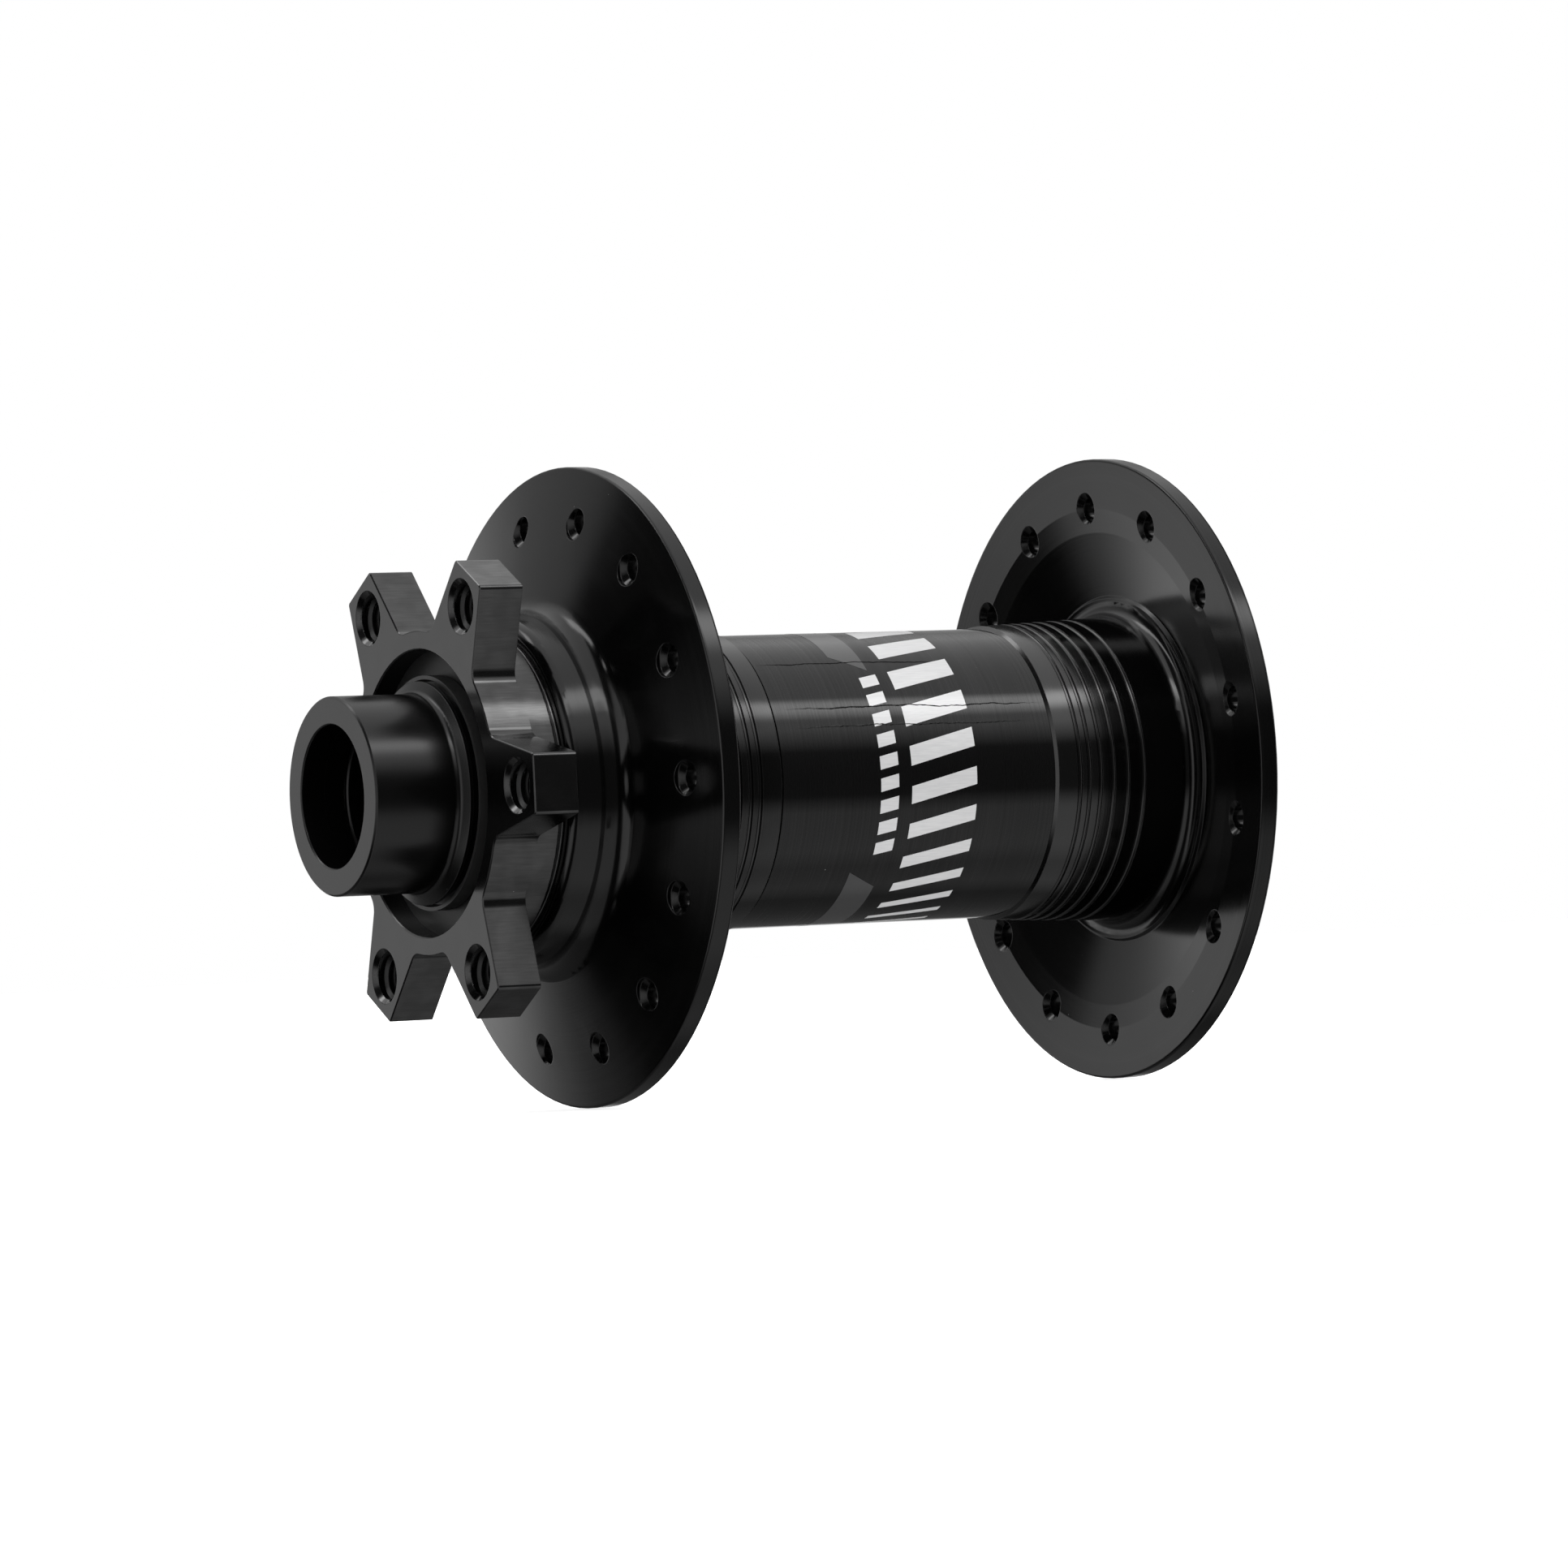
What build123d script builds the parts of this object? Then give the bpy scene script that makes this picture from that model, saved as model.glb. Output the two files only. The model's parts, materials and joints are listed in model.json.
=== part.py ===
"""Front bicycle hub for a 15 mm through axle, with a six-bolt disc mount.

Frame: origin on the hub's axis, midway between the two end cap faces.  +Y runs
along the axis to the disc side, +X is forward and +Z is up.  Millimetres.
"""

from build123d import *
import math
import os

# ---------------------------------------------------------------- driving sizes

# Places along the axis, measured from the middle of the hub.
over_caps = 110.0              # end cap face to end cap face
disc_face_from_end = 10.5      # disc seat to the disc side end cap face
plain_face_from_end = 5.5      # shell's plain end to its end cap face

# Through axle and the hub's own axle tube.
through_bore_r = 7.55          # runs on a 15 mm through axle
axle_seat_r = 8.5              # bearing seats and cap spigots
axle_shoulder_r = 10.1         # locates the inner races
axle_shoulder_width = 2.2
axle_tube_r = 9.3              # between the shoulders
axle_edge_break = 0.35

# Ball bearings, 17 x 30 x 7.
bearing_outer_r = 15.0
bearing_width = 7.0
ball_r = 1.984
ball_count = 11
race_inner_land_r = 10.45
race_outer_land_r = 13.05
race_play = 0.03               # ball to the bottom of each race groove
race_conformity = 1.04         # groove radius over ball radius
race_edge_break = 0.3
cage_inner_r = 11.0
cage_outer_r = 12.5
cage_back = 2.3                # cage ring behind the ball centres
cage_front = 0.9               # claws in front of the ball centres
cage_pocket_play = 0.08
bearing_seal_thickness = 0.7
bearing_seal_inset = 0.25
bearing_seal_bite = 0.5        # seal rim in the outer race's groove
bearing_seal_gap = 0.25        # seals and dust shield to the inner race

# Shell: bearing end bores.
mouth_r = 15.15
seal_recess = 2.5              # shell face to the dust shield
shield_thickness = 0.8
shell_bore_r = 13.6
mouth_edge_break = 0.15

# Shell: disc mount.
bolt_circle_r = 22.0
bolt_count = 6
bolt_hole_r = 2.5
bolt_sink_r = 2.98
arm_tip_r = 25.9               # flat tip of each arm
arm_tip_half_width = 3.15
arm_root_r = 17.6
arm_root_half_width = 5.0
arm_thickness = 5.0
arm_tip_corner = 0.45
arm_root_fillet = 1.8
web_r = 17.15                  # ring that carries the arms
web_depth = 7.6
neck_r = 16.4                  # narrow groove behind the ring
neck_width = 0.75
arm_edge_break = 0.12

# Shell: flanges and barrel.
flange_spacing = 65.1          # rim centre to rim centre
shell_middle_y = -6.76
flange_r = 34.07
rim_width = 2.05
rim_corner = 0.3
outer_dish = 0.246             # rise of the outer face per mm of radius
inner_flat_width = 5.47        # nearly flat band behind the rim edge
inner_flat_dish = 0.03
inner_knee_width = 2.6         # next band, where the inner face starts to dish
inner_knee_dish = 0.175
inner_cone_dish = 0.243
boss_r = 18.7
boss_shoulder_r = 18.3
boss_shoulder_corner = 1.3
outer_root_fillet = 2.4
inner_root_fillet = 2.0
inner_root_step = 0.3          # small raised ring where the root fillet ends
barrel_root_r = 16.75
barrel_end_r = 16.05
barrel_r = 15.65
barrel_step = 0.35             # length of the cone beside the film

# Shell: turned rings beside the film.
ring_count = 6
ring_first_gap = 2.95          # film edge to the first ring
ring_first_pitch = 1.15
ring_pitch_growth = 0.2
ring_groove_r = 0.27

# Shell: spoke holes.
spoke_holes_per_flange = 14
spoke_circle_from_rim = 5.52
spoke_hole_r = 1.3
spoke_sink_r = 1.88

# Printed film round the barrel.
film_disc_edge_y = 9.75
film_plain_edge_y = -23.6
film_thickness = 0.1

# End caps.
cap_r = 10.5
cap_edge_break = 0.2
cap_bore_break = 0.12
cap_nose_disc = 5.1            # full bore length at the outer end
cap_nose_plain = 3.0
cap_running_fit = 0.05         # cap counterbore over the axle
cap_end_play = 0.1             # axle end to the counterbore's floor
cap_foot_r = 9.9               # presses on the inner race
cap_foot_height = 1.3
ring_seat_r = 11.05            # carries the wiper ring
ring_seat_height = 1.85
cap_lip_r = 11.8
cap_lip_thickness = 0.4
cap_flare_height = 0.6
cap_flare_fillet = 0.7
cap_o_ring_depth = 0.8
cap_o_ring_width = 1.3

# Soft rings.
wiper_outer_r = 12.4
wiper_body_r = 12.0
wiper_gap = 0.3                # wiper to the dust shield
wiper_front_gap = 0.45         # wiper's front lip behind the cap lip
wiper_lip = 0.5
o_ring_section_r = 0.37

# -------------------------------------------------------------- derived places

end_y = over_caps / 2
disc_face_y = end_y - disc_face_from_end
plain_face_y = end_y - plain_face_from_end
shield_seat = seal_recess + shield_thickness
flange_half = flange_spacing / 2
spoke_circle_r = flange_r - spoke_circle_from_rim
inner_flat_r = flange_r - inner_flat_width
inner_knee_r = inner_flat_r - inner_knee_width
shoulder_gap = shield_seat + bearing_width
film_outer_r = barrel_r + film_thickness

# Each side is drawn with radius along local x and distance outward along local y.
outward = {
    "disc_side": Plane.XY,
    "plain_side": Plane(origin=(0, 0, 0), x_dir=(1, 0, 0), z_dir=(0, 0, -1)),
}
face_out = {"disc_side": disc_face_y, "plain_side": plain_face_y}
cap_nose = {"disc_side": cap_nose_disc, "plain_side": cap_nose_plain}

os.makedirs("parts", exist_ok=True)


def save(part, label):
    """Label a finished piece and write it to its own file."""
    part.label = label
    export_step(part, f"parts/{label}.step")


def bearing_face(side):
    """Distance outward to the outer face of a side's bearing."""
    return face_out[side] - shield_seat


def bearing_middle(side):
    """Distance outward to the ball centres of a side's bearing."""
    return bearing_face(side) - bearing_width / 2


def axle_end(side):
    """Distance outward to a side's end of the axle tube."""
    return end_y - cap_nose[side] - cap_end_play


def side_plane(side, out):
    """Plane across the axis, facing outward, with local x towards an arm."""
    sign = 1 if side == "disc_side" else -1
    return Plane(origin=(0, sign * out, 0), x_dir=(-1, 0, 0), z_dir=(0, sign, 0))


# ------------------------------------------------------------------- hub shell

disc_rim_y = shell_middle_y + flange_half
plain_rim_y = shell_middle_y - flange_half


def outer_face_rise(radius):
    """How far a flange's outer face stands outboard of its rim edge."""
    return outer_dish * (flange_r - radius)


def inner_face_rise(radius):
    """How far a flange's inner face stands outboard of its rim edge."""
    flat = inner_flat_dish * (flange_r - max(radius, inner_flat_r))
    knee = inner_knee_dish * (inner_flat_r - min(max(radius, inner_knee_r), inner_flat_r))
    cone = inner_cone_dish * (inner_knee_r - min(radius, inner_knee_r))
    return flat + knee + cone


def flange_profile(rim_y, sign, boss_start):
    """Corner points and radii of one flange, from its outer boss to the barrel."""
    outer_y = rim_y + sign * rim_width / 2
    inner_y = rim_y - sign * rim_width / 2
    step_r = barrel_root_r + inner_root_fillet
    return [
        ((boss_shoulder_r, boss_start), boss_shoulder_corner),
        ((boss_r, outer_y + sign * (outer_face_rise(boss_r) + outer_root_fillet)), 0),
        ((boss_r, outer_y + sign * outer_face_rise(boss_r)), outer_root_fillet),
        ((flange_r, outer_y), rim_corner),
        ((flange_r, inner_y), rim_corner),
        ((inner_flat_r, inner_y + sign * inner_face_rise(inner_flat_r)), 0),
        ((inner_knee_r, inner_y + sign * inner_face_rise(inner_knee_r)), 0),
        ((step_r + inner_root_step, inner_y + sign * inner_face_rise(step_r)), 0),
        ((step_r, inner_y + sign * (inner_face_rise(step_r) - inner_root_step)), 0),
        ((barrel_root_r, inner_y + sign * (inner_face_rise(barrel_root_r) - inner_root_step)),
         inner_root_fillet * 0.7),
    ]


def barrel_radius(y):
    """Radius of the turned barrel ends, between the film and a flange."""
    if y > film_disc_edge_y:
        along = (y - film_disc_edge_y) / (disc_rim_y - film_disc_edge_y)
    else:
        along = (film_plain_edge_y - y) / (film_plain_edge_y - plain_rim_y)
    return barrel_end_r + along * (barrel_root_r - barrel_end_r)


def shell_outline():
    """The shell's whole section, as corners with their radii."""
    plate_middle = disc_face_y - arm_thickness / 2
    neck_y = disc_face_y - web_depth
    boss_y = neck_y - neck_width
    disc_bearing = disc_face_y - shield_seat
    plain_bearing = -(plain_face_y - shield_seat)
    corners = [
        ((mouth_r, plate_middle), 0),
        ((web_r, plate_middle), 0),
        ((web_r, neck_y), 0.25),
        ((neck_r, neck_y), 0.2),
        ((neck_r, boss_y), 0.2),
    ]
    corners += flange_profile(disc_rim_y, 1, boss_y)
    corners += [
        ((barrel_end_r, film_disc_edge_y + barrel_step), 0),
        ((barrel_r, film_disc_edge_y), 0),
        ((barrel_r, film_plain_edge_y), 0),
        ((barrel_end_r, film_plain_edge_y - barrel_step), 0),
    ]
    corners += reversed(flange_profile(plain_rim_y, -1, -plain_face_y))
    corners += [
        ((mouth_r, -plain_face_y), 0),
        ((mouth_r, plain_bearing), 0),
        ((bearing_outer_r, plain_bearing), 0),
        ((bearing_outer_r, plain_bearing + bearing_width), 0),
        ((shell_bore_r, plain_bearing + bearing_width), 0),
        ((shell_bore_r, disc_bearing - bearing_width), 0),
        ((bearing_outer_r, disc_bearing - bearing_width), 0),
        ((bearing_outer_r, disc_bearing), 0),
        ((mouth_r, disc_bearing), 0),
    ]
    return corners


def ring_places():
    """Axial places of the turned rings on both barrel ends."""
    gaps = [ring_first_gap]
    for n in range(ring_count - 1):
        gaps.append(gaps[-1] + ring_first_pitch + n * ring_pitch_growth)
    return [film_disc_edge_y + g for g in gaps] + [film_plain_edge_y - g for g in gaps]


def draw_arm(turn):
    """One arm of the disc mount and the stretch of ring that follows it."""
    taper = math.atan2(arm_root_half_width - arm_tip_half_width, arm_tip_r - arm_root_r)
    normal = Vector(math.sin(taper), math.cos(taper))
    flank = Vector(math.cos(taper), -math.sin(taper))
    offset = normal.dot(Vector(arm_root_r, arm_root_half_width))
    reach = math.sqrt((web_r + arm_root_fillet) ** 2 - (offset + arm_root_fillet) ** 2)
    centre = normal * (offset + arm_root_fillet) + flank * reach
    on_flank = centre - normal * arm_root_fillet
    on_ring = centre.normalized() * web_r
    middle = centre - (normal + centre.normalized()).normalized() * arm_root_fillet
    tip = Vector(arm_tip_r, arm_tip_half_width)

    def place(point, side=1):
        return Vector(point.X, side * point.Y).rotate(Axis.Z, turn)

    next_ring = Vector(on_ring.X, -on_ring.Y).rotate(Axis.Z, 360 / bolt_count)
    half_gap = Vector(web_r, 0).rotate(Axis.Z, 180 / bolt_count)
    ThreePointArc(place(on_ring, -1), place(middle, -1), place(on_flank, -1))
    FilletPolyline(
        place(on_flank, -1), place(tip, -1), place(tip), place(on_flank), radius=arm_tip_corner
    )
    ThreePointArc(place(on_flank), place(middle), place(on_ring))
    ThreePointArc(place(on_ring), place(half_gap), place(next_ring))


def make_disc_mount():
    """Six flat arms round a ring, each with a straight taper and a flat tip."""
    with BuildPart() as disc_mount:
        with BuildSketch(side_plane("disc_side", disc_face_y)):
            with BuildLine():
                for n in range(bolt_count):
                    draw_arm(n * 360 / bolt_count)
            make_face()
            Circle(mouth_r, mode=Mode.SUBTRACT)
        extrude(amount=-arm_thickness)
        rims = disc_mount.faces().sort_by(Axis.Y)[-1].edges()
        chamfer(rims, arm_edge_break)
    return disc_mount.part


def make_shell():
    """The hub shell: disc mount, two flanges and barrel, turned from one bar."""
    corners = shell_outline()
    with BuildPart() as hub_shell:
        with BuildSketch(Plane.XY):
            with BuildLine():
                FilletPolyline(*[c[0] for c in corners], radius=[c[1] for c in corners], close=True)
            make_face()
        revolve(axis=Axis.Y)

        add(make_disc_mount())

        # Turned rings beside the film.
        with BuildSketch(Plane.XY):
            for y in ring_places():
                with Locations((barrel_radius(y), y)):
                    Circle(ring_groove_r)
        revolve(axis=Axis.Y, mode=Mode.SUBTRACT)

        # Threaded holes for the disc's bolts, sunk at the face.
        with Locations(side_plane("disc_side", disc_face_y)):
            with PolarLocations(bolt_circle_r, bolt_count):
                CounterSinkHole(bolt_hole_r, bolt_sink_r, arm_thickness * 1.2, 90)

        # Spoke holes, sunk from both faces; the two sides are half a step apart.
        for side, rim_y in (("disc_side", disc_rim_y), ("plain_side", -plain_rim_y)):
            turn = 0 if side == "disc_side" else 180 / spoke_holes_per_flange
            outer = rim_y + rim_width / 2 + outer_face_rise(spoke_circle_r)
            inner = rim_y - rim_width / 2 + inner_face_rise(spoke_circle_r)
            reach = outer - inner + 1
            for level, flip in ((outer, False), (inner, True)):
                plane = side_plane(side, level)
                if flip:
                    plane = Plane(plane.origin, plane.x_dir, -plane.z_dir)
                with Locations(plane):
                    with PolarLocations(spoke_circle_r, spoke_holes_per_flange, start_angle=turn):
                        CounterSinkHole(spoke_hole_r, spoke_sink_r, reach, 90)
    return hub_shell.part


save(make_shell(), "hub_shell")


# ---------------------------------------------------------------- barrel film

with BuildPart() as barrel_film:
    with BuildSketch(Plane.XY):
        with BuildLine():
            Polyline(
                (barrel_r, film_plain_edge_y),
                (film_outer_r, film_plain_edge_y),
                (film_outer_r, film_disc_edge_y),
                (barrel_r, film_disc_edge_y),
                close=True,
            )
        make_face()
    revolve(axis=Axis.Y)
save(barrel_film.part, "barrel_film")


# ----------------------------------------------------------------------- axle

disc_axle_end = axle_end("disc_side")
plain_axle_end = -axle_end("plain_side")
disc_shoulder = face_out["disc_side"] - shoulder_gap
plain_shoulder = -(face_out["plain_side"] - shoulder_gap)
taper = axle_shoulder_r - axle_tube_r

with BuildPart() as axle:
    with BuildSketch(Plane.XY):
        with BuildLine():
            Polyline(
                (through_bore_r, plain_axle_end),
                (axle_seat_r, plain_axle_end),
                (axle_seat_r, plain_shoulder),
                (axle_shoulder_r, plain_shoulder),
                (axle_shoulder_r, plain_shoulder + axle_shoulder_width),
                (axle_tube_r, plain_shoulder + axle_shoulder_width + taper),
                (axle_tube_r, disc_shoulder - axle_shoulder_width - taper),
                (axle_shoulder_r, disc_shoulder - axle_shoulder_width),
                (axle_shoulder_r, disc_shoulder),
                (axle_seat_r, disc_shoulder),
                (axle_seat_r, disc_axle_end),
                (through_bore_r, disc_axle_end),
                close=True,
            )
        make_face()
    revolve(axis=Axis.Y)
    ends = axle.faces().filter_by(Axis.Y).sort_by(Axis.Y)
    chamfer(ends[0].edges() + ends[-1].edges(), axle_edge_break)
save(axle.part, "axle")


# ------------------------------------------------------------------- bearings

ball_circle_r = (axle_seat_r + bearing_outer_r) / 2
groove_r = ball_r * race_conformity
groove_shift = groove_r - ball_r - race_play
seal_outer_r = race_outer_land_r + bearing_seal_bite
seal_inner_r = race_inner_land_r + bearing_seal_gap


def make_race(side, inner_r, outer_r, groove_centre_r, rebate_r):
    """A race ring with its ball groove, and a rebate for seals where it has one."""
    middle = bearing_middle(side)
    half = bearing_width / 2
    rebate = bearing_seal_inset + bearing_seal_thickness
    with BuildPart() as race:
        with BuildSketch(outward[side]):
            with BuildLine():
                Polyline(
                    (inner_r, middle - half),
                    (outer_r, middle - half),
                    (outer_r, middle + half),
                    (inner_r, middle + half),
                    close=True,
                )
            make_face()
            if rebate_r:
                for level in (middle - half + rebate / 2, middle + half - rebate / 2):
                    with Locations(((inner_r + rebate_r) / 2, level)):
                        Rectangle(rebate_r - inner_r, rebate, mode=Mode.SUBTRACT)
            with Locations((groove_centre_r, middle)):
                Circle(groove_r, mode=Mode.SUBTRACT)
        revolve(axis=Axis.Y)
        seat_r = outer_r if rebate_r else inner_r
        seat_edges = race.edges().filter_by(GeomType.CIRCLE).filter_by(
            lambda e: abs(e.radius - seat_r) < 0.001
        )
        chamfer(seat_edges, race_edge_break)
    return race.part


def make_balls(side):
    """The ball set of one bearing, as separate solids."""
    with BuildPart() as balls:
        with Locations(side_plane(side, bearing_middle(side))):
            with PolarLocations(ball_circle_r, ball_count):
                Sphere(ball_r)
    return balls.part


def make_cage(side):
    """A one-piece crown cage, snapped over the balls from the inboard face."""
    middle = bearing_middle(side)
    with BuildPart() as cage:
        with BuildSketch(side_plane(side, middle - cage_back)):
            Circle(cage_outer_r)
            Circle(cage_inner_r, mode=Mode.SUBTRACT)
        extrude(amount=cage_back + cage_front)
        with Locations(side_plane(side, middle)):
            with PolarLocations(ball_circle_r, ball_count):
                Sphere(ball_r + cage_pocket_play, mode=Mode.SUBTRACT)
    return cage.part


def make_bearing_seal(side, facing):
    """A rubber seal held in the outer race; facing is 1 outboard, -1 inboard."""
    face = bearing_middle(side) + facing * (bearing_width / 2 - bearing_seal_inset)
    back = face - facing * bearing_seal_thickness
    land = race_outer_land_r - bearing_seal_bite
    with BuildPart() as bearing_seal:
        with BuildSketch(outward[side]):
            with BuildLine():
                Polyline(
                    (seal_inner_r, face - facing * bearing_seal_thickness * 0.3),
                    (seal_inner_r + bearing_seal_bite, face),
                    (land, face),
                    (race_outer_land_r, face - facing * bearing_seal_thickness * 0.2),
                    (seal_outer_r, face - facing * bearing_seal_thickness * 0.2),
                    (seal_outer_r, back),
                    (seal_inner_r, back),
                    close=True,
                )
            make_face()
        revolve(axis=Axis.Y)
    return bearing_seal.part


# ------------------------------------------------- dust shields, caps and rings


def make_dust_shield(side):
    """A flat shield pressed into the shell's mouth, outboard of the bearing."""
    with BuildPart() as dust_shield:
        with BuildSketch(side_plane(side, bearing_face(side))):
            Circle(mouth_r)
            Circle(seal_inner_r, mode=Mode.SUBTRACT)
        extrude(amount=shield_thickness)
    return dust_shield.part


def o_ring_place(side):
    """Distance outward to the middle of a cap's O-ring groove."""
    return (bearing_face(side) + axle_end(side)) / 2


def make_end_cap(side):
    """An end cap: a nose on the through axle and a socket over the axle tube."""
    foot = bearing_face(side)
    seat = foot + cap_foot_height
    lip = seat + ring_seat_height
    flare = lip + cap_lip_thickness
    floor = end_y - cap_nose[side]
    socket_r = axle_seat_r + cap_running_fit
    corners = [
        ((through_bore_r, end_y), 0),
        ((cap_r, end_y), 0),
        ((cap_r, flare + cap_flare_height), cap_flare_fillet),
        ((cap_lip_r, flare), 0),
        ((cap_lip_r, lip), 0),
        ((ring_seat_r, lip), 0),
        ((ring_seat_r, seat), 0),
        ((cap_foot_r, seat), 0),
        ((cap_foot_r, foot), 0),
        ((socket_r, foot), 0),
        ((socket_r, floor), 0),
        ((through_bore_r, floor), 0),
    ]
    with BuildPart() as end_cap:
        with BuildSketch(outward[side]):
            with BuildLine():
                FilletPolyline(*[c[0] for c in corners], radius=[c[1] for c in corners], close=True)
            make_face()
            with Locations((socket_r + cap_o_ring_depth / 2, o_ring_place(side))):
                Rectangle(cap_o_ring_depth, cap_o_ring_width, mode=Mode.SUBTRACT)
        revolve(axis=Axis.Y)
        outer_face = end_cap.faces().filter_by(Axis.Y).sort_by(Axis.Y)
        outer_face = outer_face[-1] if side == "disc_side" else outer_face[0]
        rims = outer_face.edges().sort_by(SortBy.RADIUS)
        chamfer(rims[-1], cap_edge_break)
        rims = end_cap.edges().filter_by(GeomType.CIRCLE).filter_by(
            lambda e: abs(abs(e.center().Y) - end_y) < 0.001 and abs(e.radius - through_bore_r) < 0.001
        )
        chamfer(rims, cap_bore_break)
    return end_cap.part


def make_wiper_ring(side):
    """The rubber ring on a cap, with a thin front lip that hides its seat."""
    back = bearing_face(side) + shield_thickness + wiper_gap
    front = bearing_face(side) + cap_foot_height + ring_seat_height - wiper_front_gap
    root = (front + back) / 2
    with BuildPart() as wiper_ring:
        with BuildSketch(outward[side]):
            with BuildLine():
                Polyline(
                    (ring_seat_r, back + wiper_lip),
                    (wiper_body_r, back),
                    (wiper_outer_r, back),
                    (wiper_outer_r, front),
                    (wiper_body_r, front),
                    (wiper_body_r - wiper_lip / 2, root),
                    (ring_seat_r, root),
                    close=True,
                )
            make_face()
        revolve(axis=Axis.Y)
    return wiper_ring.part


def make_o_ring(side):
    """The O-ring in a cap's socket, resting on the floor of its groove."""
    groove_floor = axle_seat_r + cap_running_fit + cap_o_ring_depth
    with BuildPart() as o_ring:
        with BuildSketch(outward[side]):
            with Locations((groove_floor - o_ring_section_r, o_ring_place(side))):
                Circle(o_ring_section_r)
        revolve(axis=Axis.Y)
    return o_ring.part


inner_groove_r = ball_circle_r + groove_shift
outer_groove_r = ball_circle_r - groove_shift

for side in ("disc_side", "plain_side"):
    save(make_race(side, axle_seat_r, race_inner_land_r, inner_groove_r, 0), f"{side}_inner_race")
    save(
        make_race(side, race_outer_land_r, bearing_outer_r, outer_groove_r, seal_outer_r),
        f"{side}_outer_race",
    )
    save(make_balls(side), f"{side}_balls")
    save(make_cage(side), f"{side}_ball_cage")
    save(make_bearing_seal(side, 1), f"{side}_outboard_seal")
    save(make_bearing_seal(side, -1), f"{side}_inboard_seal")
    save(make_dust_shield(side), f"{side}_dust_shield")
    save(make_end_cap(side), f"{side}_end_cap")
    save(make_wiper_ring(side), f"{side}_wiper_ring")
    save(make_o_ring(side), f"{side}_o_ring")
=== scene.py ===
# %% [markdown]
# # A front hub for a bicycle wheel
#
# This lesson dresses a front hub. Its turned and milled pieces arrive finished from CAD, each one an object
# of its own. What is left for Blender is what a maker does after machining: the black anodising with its tool
# marks, the printed film on the barrel, the threads in the bolt holes, and a quiet studio to see it all in.

# %% Load the hub
import json
import math
import random

import bpy
from mathutils import Matrix, Vector


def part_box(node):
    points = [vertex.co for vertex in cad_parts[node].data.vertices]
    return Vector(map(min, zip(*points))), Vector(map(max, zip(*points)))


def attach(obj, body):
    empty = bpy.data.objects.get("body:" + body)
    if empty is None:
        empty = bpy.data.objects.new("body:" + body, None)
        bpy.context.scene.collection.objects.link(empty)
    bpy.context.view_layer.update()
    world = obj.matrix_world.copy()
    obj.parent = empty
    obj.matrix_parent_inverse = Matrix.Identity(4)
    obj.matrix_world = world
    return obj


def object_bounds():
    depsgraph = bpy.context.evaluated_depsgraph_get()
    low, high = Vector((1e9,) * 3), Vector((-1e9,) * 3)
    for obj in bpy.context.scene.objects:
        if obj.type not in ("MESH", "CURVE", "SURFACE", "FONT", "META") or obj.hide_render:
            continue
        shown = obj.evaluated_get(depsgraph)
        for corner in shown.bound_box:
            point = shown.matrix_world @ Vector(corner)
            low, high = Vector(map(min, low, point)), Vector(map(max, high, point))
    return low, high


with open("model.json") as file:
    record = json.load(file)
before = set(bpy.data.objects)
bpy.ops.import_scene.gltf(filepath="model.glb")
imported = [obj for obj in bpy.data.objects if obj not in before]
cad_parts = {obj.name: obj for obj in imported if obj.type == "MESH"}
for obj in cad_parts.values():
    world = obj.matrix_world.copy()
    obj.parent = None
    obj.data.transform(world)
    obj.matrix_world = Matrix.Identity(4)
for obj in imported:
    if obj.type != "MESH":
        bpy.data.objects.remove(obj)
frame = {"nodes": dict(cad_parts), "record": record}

cad_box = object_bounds()
print("pieces from CAD:", len(frame["nodes"]))

# %% [markdown]
# ## The sizes we build on
#
# The hub lies along Y, with the brake disc's side at +Y. The film's radius and ends and the disc mount's face
# are read from the boxes of the finished pieces, so a print or a thread follows the metal under it. The bolt
# circle and the thickness of the mount are the sizes it was machined to. We think in millimetres, as a
# machinist does, and turn them into Blender's metres in one place.

# %% Read the sizes of the film and the disc mount
MM = 0.001


def box_mm(node):
    """Lowest and highest corner of a finished piece, in millimetres."""
    low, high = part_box(node)
    return Vector(low) / MM, Vector(high) / MM


film_low, film_high = box_mm("barrel_film")
film_radius = film_high.z
disc_face_y = box_mm("hub_shell")[1].y
plate_thickness = 5.0      # of the disc mount's arms
bolt_circle_radius = 22.0
bolt_count = 6
print(f"film radius {film_radius:.2f} mm, from y {film_low.y:.2f} to {film_high.y:.2f} mm")
print(f"disc face at y {disc_face_y:.2f} mm")

# %% [markdown]
# ## Small helpers for shader nodes
#
# A material in Blender is a tree of nodes. Adding each node by hand takes many lines, so three helpers keep
# the recipes readable: one adds a node and fills or links its inputs, one does a piece of arithmetic, and one
# opens a node group with named sockets. A group is a recipe that many materials share: we mix it once and
# place it in each of them with its own numbers.


# %% Helpers for nodes, arithmetic and groups
def add_node(tree, kind, inputs=None, **settings):
    """A new node with its settings, and each named input linked or given its value."""
    node = tree.nodes.new(kind)
    for name, value in settings.items():
        setattr(node, name, value)
    for name, value in (inputs or {}).items():
        if isinstance(value, bpy.types.NodeSocket):
            tree.links.new(value, node.inputs[name])
        else:
            node.inputs[name].default_value = value
    return node


def calculate(tree, operation, *values):
    """One step of arithmetic on numbers or sockets."""
    inputs = dict(enumerate(values))
    return add_node(tree, "ShaderNodeMath", inputs, operation=operation).outputs[0]


def blend_values(tree, share, low, high):
    """A number that goes from low to high as share goes from 0 to 1."""
    inputs = {"Value": share, "To Min": low, "To Max": high}
    return add_node(tree, "ShaderNodeMapRange", inputs).outputs["Result"]


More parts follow.
